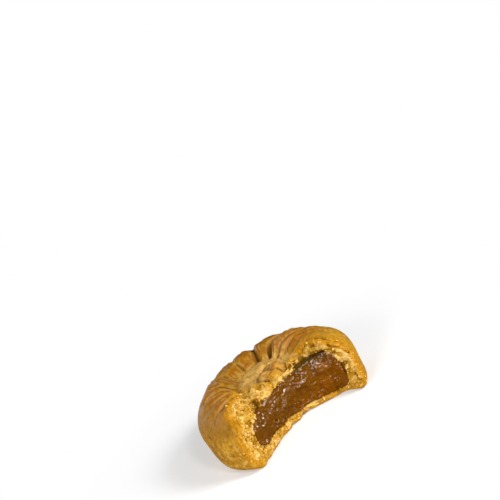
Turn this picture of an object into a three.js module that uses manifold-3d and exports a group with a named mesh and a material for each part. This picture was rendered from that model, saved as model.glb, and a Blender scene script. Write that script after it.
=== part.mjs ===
// A maamoul: a moulded semolina cookie with a date filling, with one bite taken out of it.
//
// Millimetres, +Z up. The cookie lies on its flat base, and the origin is where its axis meets that
// base. The bite is on the -Y side. Two solids: the baked crust, hollow where the filling lies, and
// the date filling, a thick disc of paste that runs through the cookie and shows in the bite.
import * as THREE from "three";
import { mergeVertices } from "three/addons/utils/BufferGeometryUtils.js";
import { ImprovedNoise } from "three/addons/math/ImprovedNoise.js";
import Module from "manifold-3d";

const { degToRad, radToDeg, smoothstep, clamp, lerp, euclideanModulo } = THREE.MathUtils;

// ---- The whole cookie ----
const RADIUS = 28; // it is 56 mm across
const HEIGHT = 20.2;
const BASE_ROUNDING = 3.1; // radius of the edge that it was baked on
const SHOULDER_ROUNDING = 11.3; // radius of the moulded shoulder
const TOP_FLAT = RADIUS - SHOULDER_ROUNDING; // the top is flat out to here
const SHOULDER_FOOT = HEIGHT - SHOULDER_ROUNDING; // the side is upright below here
const OUT_OF_ROUND = 0.25; // hand-moulded unevenness of the side
// Where the dough swelled or sank in the oven: azimuth in degrees, height, how wide and how far out.
const SWELLS = [
  { azimuth: -7, height: 15, spread: 7.5, rise: 1.1 },
  { azimuth: 126, height: 18, spread: 7, rise: -0.6 },
  { azimuth: 45, height: 19, spread: 7, rise: 0.5 },
  { azimuth: -178, height: 2, spread: 7, rise: -1.0 },
];
const CUTS_ROUND = 144; // facets round the crust
const CUTS_BASE_EDGE = 3;
const CUTS_SHOULDER = 12;

// ---- The mould's pattern on top ----
const BASIN_DEPTH = 3.2;
const BASIN_FLOOR = 10.6; // the basin is flat out to here
const BASIN_WIDENS = 2.2; // and so much further at a groove, which scallops its edge
const BASIN_SLOPE = 5.2; // from the floor's edge to the crest of the ring of petals
const PETAL_START = 9.5; // distances over the surface, from the middle of the top
const PETAL_FULL = 13;
const PETAL_FADE = 20;
const PETAL_END = 25.5;
const PETAL_BULGE = 0.6; // a petal is so much higher midway than at its edges
const PETAL_SINKS = 0.2; // its edges are so far under the plain form
// Round this azimuth the petals reach further into the basin: by how much, and over how many degrees.
const LONG_PETALS = { azimuth: 32, further: 3.5, spread: 26 };
const BASIN_NARROWS = 0.6; // the basin's floor ends sooner there, by this share of it
const GROOVE_WIDTH = 1.3; // from the bottom of a groove to where it is nearly as high as the petal
const GROOVE_INNER_AT = 10; // distances over the surface, at which each groove's two azimuths are
const GROOVE_OUTER_AT = 20;
const GROOVE_RUNS_ON = 1.4; // it keeps its course past there, to this share of the way
// The grooves between the petals: their azimuths, in degrees from +X, and depth. They are uneven and swirl a
// little, because the mould is carved by hand.
const GROOVES = [
  { inner: -141, outer: -156, depth: 1.4 },
  { inner: -120, outer: -137, depth: 1.2 },
  { inner: -99, outer: -117, depth: 1.2 },
  { inner: -78, outer: -95, depth: 1.2 },
  { inner: -56, outer: -73, depth: 1.2 },
  { inner: -34, outer: -51, depth: 1.1 },
  { inner: -10, outer: -28, depth: 0.8 },
  { inner: 12, outer: -10, depth: 0.7 },
  { inner: 24, outer: 2, depth: 1.0 },
  { inner: 38, outer: 19, depth: 1.1 },
  { inner: 61, outer: 46, depth: 1.2 },
  { inner: 79, outer: 77.5, depth: 0.95 },
  { inner: 109, outer: 101, depth: 0.35 },
  { inner: 139, outer: 131, depth: 0.35 },
  { inner: 167, outer: 154, depth: 0.8 },
  { inner: 179, outer: 170, depth: 0.8 },
  { inner: 202, outer: 187, depth: 1.4 },
];
// Tongues of dough that run from the button out over the basin's floor.
const TONGUES = [
  { azimuth: 150, from: 4, to: 11, width: 1.5, rise: 0.35 },
  { azimuth: 112, from: 4, to: 11, width: 1.4, rise: 0.7 },
  { azimuth: 82, from: 3, to: 10.5, width: 2, rise: 1.1 },
  { azimuth: 45, from: 3, to: 9, width: 1.7, rise: 0.4 },
  { azimuth: 14, from: 4.5, to: 10, width: 1.3, rise: 0.4 },
];
const TONGUE_END = 2.5; // it sinks to the floor over this length

// ---- The button in the middle of the basin: domes pressed together ----
const CUTS_ROUND_DOME = 20;
const DOME_SPREADS = 1.2; // its foot runs out to this many times its radius
const DOME_SINKS = 0.25; // its foot is so far under the basin's floor
const BUTTON_DOMES = [
  { azimuth: -60, out: 4.3, radius: 2.7, rise: 3.0 },
  { azimuth: -92, out: 7.2, radius: 2.3, rise: 1.9 },
  { azimuth: -122, out: 3.2, radius: 2.5, rise: 1.8 },
  { azimuth: -10, out: 1.6, radius: 2.9, rise: 1.3 },
];

// ---- The date filling ----
const FILLING_RADIUS = 22.6;
const FILLING_TOP = 14.1; // halfway across
const FILLING_BOTTOM = 2.9;
const FILLING_WIDENS = 0.075; // its top rises and its underside drops so much for each millimetre towards +X
const FILLING_TOP_ROUNDING = 4.0;
const FILLING_BOTTOM_ROUNDING = 3.4;
const FILLING_UNEVEN = 0.35; // lumps over its top and side
const GAP = 0.3; // between the paste and the crust around it
const CUTS_ROUND_FILLING = 80;
const CUTS_FILLING_EDGE = 4;

// ---- The bite ----
const BITE_CENTRE = 32.3; // the middle of the jaw's curve, in front of the cookie's axis
// How far the bite reaches from there, at each tooth. Its angle is counted from +Y towards +X.
const TEETH = [
  { at: -90, reach: 25.0 },
  { at: -57, reach: 24.4 },
  { at: -46, reach: 23.6 },
  { at: -35, reach: 23.0 },
  { at: -20, reach: 23.9 },
  { at: -6, reach: 24.6 },
  { at: 10, reach: 26.2 },
  { at: 24, reach: 25.8 },
  { at: 36, reach: 26.8 },
  { at: 57, reach: 25.2 },
  { at: 90, reach: 25.0 },
];
const TOOTH_RIDGE = 0.35; // the ridge left between two tooth marks
// Where the crust broke away further back than the teeth went, or less far, growing from one height to
// another: the two corners of the wall, and then the upper crust over the paste.
const BREAKS = [
  { at: -60, back: 2.2, spread: 9, from: 1, to: 6 },
  { at: 53, back: 1.6, spread: 7, from: 7, to: 14 },
  { at: -39, back: 4.4, spread: 13, from: 13.5, to: 18 },
  { at: -19, back: 9.2, spread: 8, from: 14.2, to: 17 },
  { at: 2, back: -1.9, spread: 7, from: 14.2, to: 17 },
  { at: 20.5, back: 5.6, spread: 7.5, from: 14.2, to: 17 },
  { at: 40, back: -1.6, spread: 7, from: 13, to: 18 },
];
// Hollows that opened between the paste and the upper crust: round bars with round ends.
const HOLLOWS = [
  { start: [3.5, -5, 15.1], end: [11.5, -6.4, 15.7], radius: 0.95 },
  { start: [11, -6.8, 15.9], end: [16.5, -10.7, 16], radius: 1.2 },
  { start: [18.3, -12.6, 11.5], end: [18.6, -14.2, 8.2], radius: 0.7 },
  { start: [-10.4, -8.7, 15], end: [-11.8, -12.4, 14.2], radius: 1.05 },
];
const CRAG = 0.75; // height of the crags in the broken crust
const CRAG_SIZE = 2.6;
const PASTE_BULGE = 0.9; // the bitten paste swells out of the wall
const PASTE_LUMP = 1.0;
const PASTE_LUMP_SIZE = 4.2;
const BITE_BELOW = -1.3; // the cut runs past the cookie's base and top
const BITE_ABOVE = 22.7;
const CUTS_ROUND_BITE = 132;
const CUTS_UP_BITE = 20;

const MERGE_WITHIN = 1e-4; // vertices closer than this are one
const NOISE_SEED = 7.31; // shifts the lumps and crags, which are the same at every build

const wasm = await Module();
wasm.setup();
const perlin = new ImprovedNoise();

/** Smooth unevenness between about -1 and 1, with lumps about `size` across. */
function lumps(x, y, z, size) {
  const scale = 1 / size;
  const coarse = perlin.noise(x * scale + NOISE_SEED, y * scale, z * scale);
  const fine = perlin.noise(x * scale * 2, y * scale * 2 + NOISE_SEED, z * scale * 2);
  return 1.2 * coarse + 0.6 * fine;
}

/** Joins a geometry's doubled vertices and drops the triangles that this closes up, as at a pole. */
function sealed(geometry) {
  geometry.deleteAttribute("normal");
  geometry.deleteAttribute("uv");
  const merged = mergeVertices(geometry, MERGE_WITHIN);
  const kept = [];
  const corners = merged.index.array;
  for (let i = 0; i < corners.length; i += 3) {
    const [a, b, c] = [corners[i], corners[i + 1], corners[i + 2]];
    if (a !== b && b !== c && c !== a) kept.push(a, b, c);
  }
  merged.setIndex(kept);
  return merged;
}

/** Points of an arc from one angle to another, in degrees. */
function arc(x, y, radius, from, to, cuts) {
  return new THREE.ArcCurve(x, y, radius, degToRad(from), degToRad(to), false).getPoints(cuts);
}

/** Moves each vertex of a geometry by a function that changes the point it is given. */
function moved(geometry, move) {
  const position = geometry.attributes.position;
  const point = new THREE.Vector3();
  for (let i = 0; i < position.count; i += 1) {
    move(point.fromBufferAttribute(position, i));
    position.setXYZ(i, point.x, point.y, point.z);
  }
  return geometry;
}

/** Turns an outline of (distance from the axis, height) points round the Z axis. */
function turned(outline, cuts) {
  return sealed(new THREE.LatheGeometry(outline, cuts).rotateX(Math.PI / 2));
}

function toSolid(geometry) {
  return new wasm.Manifold(
    new wasm.Mesh({
      numProp: 3,
      vertProperties: new Float32Array(geometry.attributes.position.array),
      triVerts: new Uint32Array(geometry.index.array),
    }),
  );
}

/** The largest of a solid's separate pieces: a cut leaves a loose crumb here and there. */
function largestPiece(solid) {
  return solid.decompose().reduce((best, piece) => (piece.volume() > best.volume() ? piece : best));
}

function toGeometry(solid) {
  const { vertProperties, triVerts } = solid.getMesh();
  const geometry = new THREE.BufferGeometry();
  geometry.setAttribute("position", new THREE.BufferAttribute(new Float32Array(vertProperties), 3));
  geometry.setIndex(new THREE.BufferAttribute(new Uint32Array(triVerts), 1));
  geometry.computeVertexNormals();
  return geometry;
}

// ---- The crust's outside ----

/**
 * The petal that an azimuth on the shoulder belongs to, followed along its grooves to a distance over the
 * surface: the azimuths of the two grooves there, their depths, and the share of the way between them.
 */
function petalAt(onShoulder, overSurface) {
  const [first] = GROOVES;
  const edges = [...GROOVES, { ...first, inner: first.inner + 360, outer: first.outer + 360 }];
  const turn = euclideanModulo(onShoulder - first.outer, 360) + first.outer;
  const next = edges.findIndex(({ outer }) => outer > turn);
  const outward = (overSurface - GROOVE_INNER_AT) / (GROOVE_OUTER_AT - GROOVE_INNER_AT);
  const [start, end] = [edges[next - 1], edges[next]].map(({ inner, outer, depth }) => {
    return { azimuth: lerp(inner, outer, clamp(outward, 0, GROOVE_RUNS_ON)), depth };
  });
  return { start, end, share: (turn - edges[next - 1].outer) / (edges[next].outer - edges[next - 1].outer) };
}

/** Height of the tongues of dough at an azimuth and a distance from the axis. */
function tongues(azimuth, out) {
  return TONGUES.reduce((sum, tongue) => {
    const turn = degToRad(azimuth - tongue.azimuth);
    const [along, aside] = [out * Math.cos(turn), out * Math.sin(turn)];
    const end = 1 - smoothstep(along, tongue.to - TONGUE_END, tongue.to);
    const start = smoothstep(along, tongue.from - TONGUE_END, tongue.from);
    return sum + tongue.rise * start * end * Math.exp(-((aside / tongue.width) ** 2));
  }, 0);
}

/** Height of the mould's pattern over the plain form, at an azimuth of a petal. */
function pattern({ start, end, share }, azimuth, overSurface) {
  const across = 1 - Math.abs(2 * share - 1); // 0 in a groove, 1 midway between two
  const [past, short] = [start, end].map(({ azimuth: groove, depth }) => {
    const aside = degToRad(azimuth - groove) * overSurface;
    return depth * Math.exp(-((aside / GROOVE_WIDTH) ** 2));
  });
  const nearer = Math.min(share < 0.5 ? start.depth : end.depth, 1); // a shallow groove hardly parts its petals
  const petal = PETAL_BULGE * (1 - nearer * (1 - across) ** 2) - PETAL_SINKS - past - short;
  const away = (euclideanModulo(azimuth - LONG_PETALS.azimuth + 180, 360) - 180) / LONG_PETALS.spread;
  const inward = LONG_PETALS.further * Math.exp(-(away ** 2));
  const floorEnd = BASIN_FLOOR + BASIN_WIDENS * nearer * (1 - across) ** 3 - BASIN_NARROWS * inward;
  const basin = BASIN_DEPTH * (1 - smoothstep(overSurface, floorEnd, floorEnd + BASIN_SLOPE));
  const rising = smoothstep(overSurface + inward, PETAL_START, PETAL_FULL);
  const shown = rising * (1 - smoothstep(overSurface, PETAL_FADE, PETAL_END));
  return petal * shown - basin + tongues(azimuth, overSurface);
}

/** How far the dough swelled at a point of the side or the shoulder. */
function swelling(point) {
  return SWELLS.reduce((sum, { azimuth, height, spread, rise }) => {
    const angle = degToRad(azimuth);
    const middle = new THREE.Vector3(RADIUS * Math.cos(angle), RADIUS * Math.sin(angle), height);
    return sum + rise * Math.exp(-((point.distanceTo(middle) / spread) ** 2));
  }, 0);
}

/**
 * Presses the pattern into the top and shoulder, and makes the side a little uneven. The points turn with the
 * petals, so that the facets run along the grooves.
 */
function mould(point) {
  const out = Math.hypot(point.x, point.y);
  if (out === 0) {
    point.z -= point.z > 0 ? BASIN_DEPTH : 0;
    return;
  }
  const pastFlat = Math.max(out - TOP_FLAT, 0);
  const lean = Math.atan2(pastFlat, Math.max(point.z - SHOULDER_FOOT, 0)); // of the surface's normal
  const overSurface = Math.min(out, TOP_FLAT) + SHOULDER_ROUNDING * lean;
  const petal = petalAt(radToDeg(Math.atan2(point.y, point.x)), overSurface);
  const azimuth = lerp(petal.start.azimuth, petal.end.azimuth, petal.share);
  point.set(out * Math.cos(degToRad(azimuth)), out * Math.sin(degToRad(azimuth)), point.z);
  const upright = clamp(point.z / BASE_ROUNDING, 0, 1);
  const uneven = OUT_OF_ROUND * upright * lumps(point.x, point.y, point.z, RADIUS / 2) + swelling(point);
  const onTop = point.z > SHOULDER_FOOT;
  const rise = uneven + (onTop ? pattern(petal, azimuth, overSurface) : 0);
  const grown = (out + rise * Math.sin(lean)) / out;
  point.x *= grown;
  point.y *= grown;
  point.z += onTop ? rise * Math.cos(lean) : 0;
}

/** Half of the plain cookie's section, from the middle of the base round to the middle of the top. */
function crustOutline() {
  const ringsOnTop = [0.93, 0.86, 0.79, 0.72, 0.64, 0.54, 0.4, 0.24, 0]; // shares of the flat top's radius
  return [
    new THREE.Vector2(0, 0),
    ...arc(RADIUS - BASE_ROUNDING, BASE_ROUNDING, BASE_ROUNDING, -90, 0, CUTS_BASE_EDGE),
    new THREE.Vector2(RADIUS, (BASE_ROUNDING + SHOULDER_FOOT) / 2),
    ...arc(TOP_FLAT, SHOULDER_FOOT, SHOULDER_ROUNDING, 0, 90, CUTS_SHOULDER),
    ...ringsOnTop.map((share) => new THREE.Vector2(share * TOP_FLAT, HEIGHT)),
  ];
}

/** A round dome whose foot runs out softly into the basin's floor. */
function dome({ azimuth, out, radius, rise }) {
  const angle = degToRad(azimuth);
  const foot = radius * DOME_SPREADS;
  const shares = [1, 0.92, 0.84, 0.74, 0.62, 0.47, 0.29, 0]; // of the way from its middle to its foot
  const outline = shares.map((share) => {
    return new THREE.Vector2(share * foot, (rise + DOME_SINKS) * (1 - share ** 3) ** 1.5);
  });
  const underside = [0, foot].map((apart) => new THREE.Vector2(apart, -radius / 2));
  const bell = turned([...underside, ...outline], CUTS_ROUND_DOME);
  bell.translate(out * Math.cos(angle), out * Math.sin(angle), HEIGHT - BASIN_DEPTH - DOME_SINKS);
  return toSolid(bell);
}

function wholeCookie() {
  const body = toSolid(moved(turned(crustOutline(), CUTS_ROUND), mould));
  return BUTTON_DOMES.reduce((cookie, spec) => cookie.add(dome(spec)), body);
}

// ---- The filling, and the pocket that it lies in ----

/** The disc of paste, grown by `grow` on every side. */
function pasteDisc(grow) {
  const radius = FILLING_RADIUS + grow;
  const low = FILLING_BOTTOM - grow;
  const high = FILLING_TOP + grow;
  const lowRound = FILLING_BOTTOM_ROUNDING + grow;
  const highRound = FILLING_TOP_ROUNDING + grow;
  const outline = [
    new THREE.Vector2(0, low),
    new THREE.Vector2(radius / 2, low),
    ...arc(radius - lowRound, low + lowRound, lowRound, -90, 0, CUTS_FILLING_EDGE),
    ...arc(radius - highRound, high - highRound, highRound, 0, 90, CUTS_FILLING_EDGE),
    new THREE.Vector2(radius / 2, high),
    new THREE.Vector2(0, high),
  ];
  return toSolid(
    moved(turned(outline, CUTS_ROUND_FILLING), (point) => {
      const up = clamp((point.z - FILLING_BOTTOM) / (FILLING_TOP - FILLING_BOTTOM), 0, 1);
      const uneven = FILLING_UNEVEN * lumps(point.x, point.y, 0, RADIUS / 3);
      point.z += uneven * up + FILLING_WIDENS * point.x * (2 * up - 1);
    }),
  );
}

// ---- The bite ----

/** How far the jaw's curve reaches at an angle round its middle, with a ridge between two teeth. */
function toothMark(angle) {
  const next = clamp(TEETH.findIndex((tooth) => tooth.at > angle), 1, TEETH.length - 1);
  const [before, after] = [TEETH[next - 1], TEETH[next]];
  const between = clamp((angle - before.at) / (after.at - before.at), 0, 1);
  const eased = smoothstep(between, 0, 1);
  return lerp(before.reach, after.reach, eased) - TOOTH_RIDGE * Math.sin(Math.PI * between) ** 2;
}

/** How much further back than the teeth the crust broke. */
function brokenBack(angle, z) {
  return BREAKS.reduce(
    (sum, { at, back, spread, from, to }) =>
      sum + back * Math.exp(-(((angle - at) / spread) ** 2)) * smoothstep(z, from, to),
    0,
  );
}

/** A solid column round the middle of the jaw, as far out as `reach(angle, point)` says. */
function biteColumn(reach) {
  const column = new THREE.CylinderGeometry(1, 1, BITE_ABOVE - BITE_BELOW, CUTS_ROUND_BITE, CUTS_UP_BITE);
  column.rotateX(Math.PI / 2).translate(0, 0, (BITE_ABOVE + BITE_BELOW) / 2);
  return toSolid(
    moved(sealed(column), (point) => {
      const angle = radToDeg(Math.atan2(point.x, point.y));
      const wide = Math.hypot(point.x, point.y) < 0.5 ? 0 : reach(angle, point);
      point.set(point.x * wide, point.y * wide - BITE_CENTRE, point.z);
    }),
  );
}

/** The bite out of the crust, whose broken wall is craggy. */
function crustBite() {
  return biteColumn((angle, { x, y, z }) => {
    const crags = CRAG * lumps(x * RADIUS, y * RADIUS, z, CRAG_SIZE);
    return toothMark(angle) + brokenBack(angle, z) + crags;
  });
}

function hollow({ start, end, radius }) {
  const from = new THREE.Vector3(...start);
  const along = new THREE.Vector3(...end).sub(from);
  const bar = new THREE.CapsuleGeometry(radius, along.length(), 3, 10).rotateX(Math.PI / 2);
  const facing = new THREE.Matrix4().lookAt(along, new THREE.Vector3(), THREE.Object3D.DEFAULT_UP);
  bar.applyMatrix4(facing).translate(...from.addScaledVector(along, 0.5));
  return toSolid(sealed(bar));
}

/** What is missing from the crust: the bite, and the hollows behind it. */
function crustGaps() {
  return HOLLOWS.reduce((gaps, spec) => gaps.add(hollow(spec)), crustBite());
}

/** The bite out of the paste, which is lumpy and swells out of the wall. */
function pasteBite() {
  return biteColumn((angle, { x, y, z }) => {
    const up = clamp((z - FILLING_BOTTOM) / (FILLING_TOP - FILLING_BOTTOM), 0, 1);
    const lump = PASTE_LUMP * lumps(x * RADIUS, y * RADIUS, z, PASTE_LUMP_SIZE);
    return toothMark(angle) + lump - PASTE_BULGE * Math.sin(Math.PI * up);
  });
}

// ---- The two pieces ----

function piece(name, solid, look) {
  const mesh = new THREE.Mesh(toGeometry(solid), new THREE.MeshStandardMaterial({ metalness: 0, ...look }));
  mesh.name = name;
  return mesh;
}

const crust = largestPiece(wholeCookie().subtract(pasteDisc(GAP)).subtract(crustGaps()));
const filling = largestPiece(pasteDisc(0).subtract(pasteBite()));

const maamoul = new THREE.Group();
maamoul.add(piece("crust", crust, { color: 0xc9953b, roughness: 0.75 }));
maamoul.add(piece("date_filling", filling, { color: 0x6f3a0c, roughness: 0.3 }));

export default maamoul;
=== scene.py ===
"""A bitten maamoul: a moulded semolina cookie whose date filling shows where a bite is gone.

The crust and the filling are worked out as solids in space, each a field that is negative inside it,
and a mesh is then laid over each. Crumbs are scattered over the broken wall. Sizes are in millimetres,
and become metres when a mesh, a light or the camera is made; only a material's are in metres.
"""
import math
from itertools import product

import bpy
import numpy as np
from mathutils import Matrix, Vector


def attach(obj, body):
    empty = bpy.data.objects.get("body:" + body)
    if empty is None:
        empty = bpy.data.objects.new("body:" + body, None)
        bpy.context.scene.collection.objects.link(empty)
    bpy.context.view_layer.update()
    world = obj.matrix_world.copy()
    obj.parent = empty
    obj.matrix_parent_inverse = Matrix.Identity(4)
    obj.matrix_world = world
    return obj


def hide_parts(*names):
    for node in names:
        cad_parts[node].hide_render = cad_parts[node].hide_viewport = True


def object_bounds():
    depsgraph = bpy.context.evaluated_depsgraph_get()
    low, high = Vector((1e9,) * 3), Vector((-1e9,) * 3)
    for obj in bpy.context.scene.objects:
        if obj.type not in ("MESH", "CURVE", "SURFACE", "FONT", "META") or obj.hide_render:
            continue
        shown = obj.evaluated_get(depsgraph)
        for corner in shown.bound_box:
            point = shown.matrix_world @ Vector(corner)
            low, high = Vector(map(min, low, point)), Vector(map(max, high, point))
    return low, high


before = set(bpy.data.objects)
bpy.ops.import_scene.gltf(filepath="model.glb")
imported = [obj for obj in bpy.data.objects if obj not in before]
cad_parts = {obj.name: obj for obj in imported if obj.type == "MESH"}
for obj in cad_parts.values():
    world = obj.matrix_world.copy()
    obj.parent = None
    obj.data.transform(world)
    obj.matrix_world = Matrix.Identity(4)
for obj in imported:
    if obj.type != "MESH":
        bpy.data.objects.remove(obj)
cad_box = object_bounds()

MM = 0.001

# ---- The whole cookie ----
RADIUS = 28.0
HEIGHT = 20.2
BASE_ROUNDING = 3.1
SHOULDER_ROUNDING = 11.3
TOP_FLAT = RADIUS - SHOULDER_ROUNDING
SHOULDER_FOOT = HEIGHT - SHOULDER_ROUNDING
OUT_OF_ROUND, OUT_OF_ROUND_SIZE = 0.2, 14.0
# Where the dough swelled or sank in the oven: azimuth in degrees, height, how wide and how far out.
SWELLS = [(-7, 15, 7.5, 1.1), (126, 18, 7, -0.6), (45, 19, 7, 0.5), (-178, 2, 7, -1.0)]
# Small dimples where the creases of the left petals end: where, radius, depth.
DIMPLES = [(-23.4, -5.4, 17.6, 0.9, 1.0), (-22.4, -6.9, 17.8, 0.9, 0.9), (-24.1, 0.1, 17.3, 0.7, 0.7)]

# ---- The mould's pattern on top ----
BASIN_DEPTH = 3.2
BASIN_FLOOR = 10.6
BASIN_WIDENS = 2.2
BASIN_SLOPE = 5.2
PETAL_START, PETAL_FULL, PETAL_FADE, PETAL_END = 9.5, 13.0, 20.0, 25.5
PETAL_BULGE = 0.6
PETAL_SINKS = 0.2
# Towards this azimuth the petals start so much further in, over so many degrees.
PETAL_LONGER, LONGER_TOWARDS, LONGER_OVER = 3.5, 32.0, 26.0
BASIN_NARROWS = 0.6  # the basin's floor ends sooner there, by this share of it
PATTERN_LUMPS = [(0.4, 2.8), (0.16, 1.3)]  # height and size of the unevenness all over the moulded top
GROOVE_WIDTH = 1.1
GROOVE_CUT = 0.5  # the sharp line at the bottom of a groove 1 mm deep: how deep and wide it is
GROOVE_CUT_WIDTH = 0.35
GROOVE_INNER_AT, GROOVE_OUTER_AT = 10.0, 20.0
GROOVE_RUNS_ON = 1.4
# The grooves between the petals: azimuth where they start in the basin and on the shoulder, and depth.
GROOVES = [
    (-141, -156, 1.4), (-120, -137, 1.2), (-99, -117, 1.2), (-78, -95, 1.2), (-56, -73, 1.2),
    (-34, -51, 1.1), (-10, -28, 0.8), (12, -10, 0.7), (24, 2, 1.0), (38, 19, 1.1),
    (61, 46, 1.2), (79, 77.5, 0.95), (109, 101, 0.35), (139, 131, 0.35), (167, 154, 0.8),
    (179, 170, 0.8), (202, 187, 1.4),
]
GROOVE_WAVER, WAVER_SIZE = 0.35, 4.5  # a groove wanders so far from its course
VEIN_STEP = 2.2  # between the fine lines cut in a petal
VEIN_DEPTH = 0.25
VEIN_LEVEL = 0.6  # how much of a line lies lower than the petal
VEIN_PATCHES = 3.5  # the lines come and go over such lengths
VEIN_SHARE, VEIN_VARIES, VEIN_MOST = 0.4, 1.3, 1.3  # as shares of their depth
VEIN_DEEPER, VEIN_TOWARDS = 0.55, 185.0  # they are deeper towards this azimuth
VEIN_SPREAD = (0.3, 0.9)  # from the cosine of the turn away from it
# Tongues of dough that run out over the basin's floor: azimuth, start, end, width, rise.
TONGUES = [
    (150, 4, 11, 1.5, 0.35), (112, 4, 11, 1.4, 0.7), (82, 3, 10.5, 2.0, 1.1), (45, 3, 9, 1.7, 0.4),
    (14, 4.5, 10, 1.3, 0.4),
]
TONGUE_END = 2.5
PATTERN_REACH = 9.0  # the pattern is worked out this near to the plain form

# ---- The button in the middle of the basin: azimuth, how far out, radius, rise ----
BUTTON_DOMES = [(-60, 4.3, 2.7, 3.0), (-92, 7.2, 2.3, 1.9), (-122, 3.2, 2.5, 1.8), (-10, 1.6, 2.9, 1.3)]
DOME_BLEND = 0.35
DOME_CREASE, DOME_CREASE_WIDTH = 0.7, 0.6  # the line pressed round a dome
DOME_TOP, DOME_FOOT = 0.5, 1.2  # as shares of its radius

# ---- The date filling ----
FILLING_RADIUS = 22.6
FILLING_TOP = 14.1
FILLING_BOTTOM = 2.9
FILLING_WIDENS = 0.075
FILLING_TOP_ROUNDING = 4.0
FILLING_BOTTOM_ROUNDING = 3.4
FILLING_UNEVEN, FILLING_UNEVEN_SIZE = 0.35, 9.0
POCKET_GAP = 0.05
PASTE_SWELLS = 0.2  # the paste presses so far into the crumb around it

# ---- The bite ----
BITE_CENTRE = 32.3
TOOTH_ANGLES = [-90, -57, -46, -35, -20, -6, 10, 24, 36, 57, 90]
TOOTH_REACHES = [25.0, 24.4, 23.6, 23.0, 23.9, 24.6, 26.2, 25.8, 26.8, 25.2, 25.0]
TOOTH_RIDGE = 0.35
# Where the crust broke further back than the teeth, or less far: angle, how far, spread, and the heights
# between which it grows.
BREAKS = [
    (-60, 2.2, 9, 1, 6),
    (53, 1.6, 7, 7, 14),
    (-39, 4.4, 13, 13.5, 18),
    (-19, 9.2, 8, 14.2, 17),
    (2, -1.9, 7, 14.2, 17),
    (20.5, 5.6, 7.5, 14.2, 17),
    (40, -1.6, 7, 13, 18),
]
CRAG, CRAG_SIZE = 0.5, 2.8
CLUMP, CLUMP_SIZE = 0.6, 2.3
LAYER, LAYER_SIZE = 0.3, 1.2
LAYER_THINNER, LAYER_LONGER = 1.7, 0.7  # through the crust and along it
LAYERS_ROUND, LAYERS_OUT = 9.0, 16.0  # the height that they run round, and how far out
GRAIN, GRAIN_SIZE = 0.38, 0.8
PORE_DEPTH, PORE_SIZE = 1.2, 1.1
PORE_EDGES = (0.25, 0.7)
PORE_THINNER, PORE_LONGER = 1.4, 0.6
FINE_PORE_DEPTH, FINE_PORE_SIZE = 0.3, 0.9
FINE_PORE_EDGES, FINE_PORE_SHARE = (0.05, 0.5), 1.3
COARSE_FROM, COARSE_TO = -16.0, 10.0  # the crumb grows coarser from left to right
COARSE_LEAN, COARSE_LEVEL = 1.5, 10.0  # and upwards from this height
COARSE_ABOVE = (3.0, 6.0)
CLUMPS_ABOVE = (2.0, 6.0)
LEAST_COARSE = 0.3
CALM_CRAGS = 0.5  # share of the crags in the finest crumb
RIM_CALM = 0.35  # share of the crumb's relief that is left at the rim of the skin
RIM_WIDTH = 1.6
EDGE_ROUNDING = 1.6  # where the baked skin turns into the broken wall
TORN_FULL, TORN_REACH = 1.0, 6.0  # the skin is crumbly so far behind the edge
PIT_DEPTH, PIT_SIZE, PIT_EDGES = 0.45, 1.3, (0.1, 0.6)
TORN_GRAIN, TORN_LEVEL = 0.3, 0.4
TORN_ABOVE = (2.0, 5.0)  # the skin is whole below, at the base
ROUGHER_AT = (8.0, 16.0)  # at the right horn it is rougher, and crumbles further back
# Hollows that opened in the dough round the paste, as capsules: start, end, radius.
HOLLOWS = [
    ((3.5, -5.0, 15.1), (11.5, -6.4, 15.7), 0.95),
    ((11.0, -6.8, 15.9), (16.5, -10.7, 16.0), 1.2),
    ((18.3, -12.6, 11.5), (18.6, -14.2, 8.2), 0.7),
    ((-10.4, -8.7, 15.0), (-11.8, -12.4, 14.2), 1.3),
]
HOLLOW_WAVER, HOLLOW_WAVER_SIZE = 0.45, 1.8
PASTE_BULGE = 0.9
PASTE_ROUNDING = 1.2
PASTE_LUMPS = [(1.0, 4.2), (0.6, 1.9), (0.4, 0.9)]  # height and size of each
PASTE_DIP, DIPS_LEFT = -0.3, 0.4  # what lies lower than the first keeps this share of its depth

# ---- Where the crust looks different: under the skin, behind the bite, or along an axis ----
BROWNED_TOWARDS = 110  # the azimuth at which the oven browned the petals most
BROWNED_SPREAD = (-0.75, -0.1)  # from the cosine of the turn away from it
BROWNED_ABOVE = (10, 16)
BASIN_LOOK = (9.0, 12.5)
PATCHY_EDGE, PATCHY_SIZE = 1.5, 3.0  # the looks' borders wander so far
CRUMB_UNDER, CRUMB_WAVER, CRUMB_WAVER_SIZE = (0.3, 1.5), 0.5, 1.2
CRUMB_UNDER_BACK = (1.5, 2.5)  # away from the bite
CRUMBLY, CRUMBLY_REACH, ROUGHER_REACH = 1.2, (0.2, 3.4), 2.6  # the crumb shows through the skin there
LOOSE_UNDER, LOOSE_ABOVE = (0.6, 1.6), (0.5, 1.2)  # where crumbs lie on the wall
LOOSE_ON_SKIN, LOOSE_ON_SKIN_REACH = 0.2, (0.5, 3.5)
LOOSE_REACH = 4.0
TOASTED_UNDER, TOASTED_ASIDE, LEAST_TOASTED = (0.3, 2.0), (7, 14), 0.15
# Painted shade in the hollows: the crumb there is painted darker, from this far outside them, and by this
# much.
HOLLOW_SHADE_FROM, HOLLOW_SHADE_DARKNESS = -0.4, 0.35
PROUD_SPAN, RAISED_SPAN, VEINED_SPAN = 2.0, 1.6, 0.7  # heights that fill the range from 0 to 1
TORN_LOOK, TORN_WIDER, TORN_WIDER_AT = (0.4, 3.6), 4, (6, 20)
# Darker patches that the oven left on the skin: where, how far, how strong.
SCORCHES = [(17.0, 0.5, 20.0, 5.0, 0.75), (-19.5, -1.5, 19.3, 5.0, 0.4), (16.0, -9.0, 20.3, 5.0, 0.45)]
# Paler patches, likewise.
BLEACHES = [(-22.0, -8.5, 16.5, 3.0, 0.6), (-26.5, -2.0, 11.0, 4.0, 0.25), (12.5, 9.0, 19.0, 3.0, 0.4)]
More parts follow.
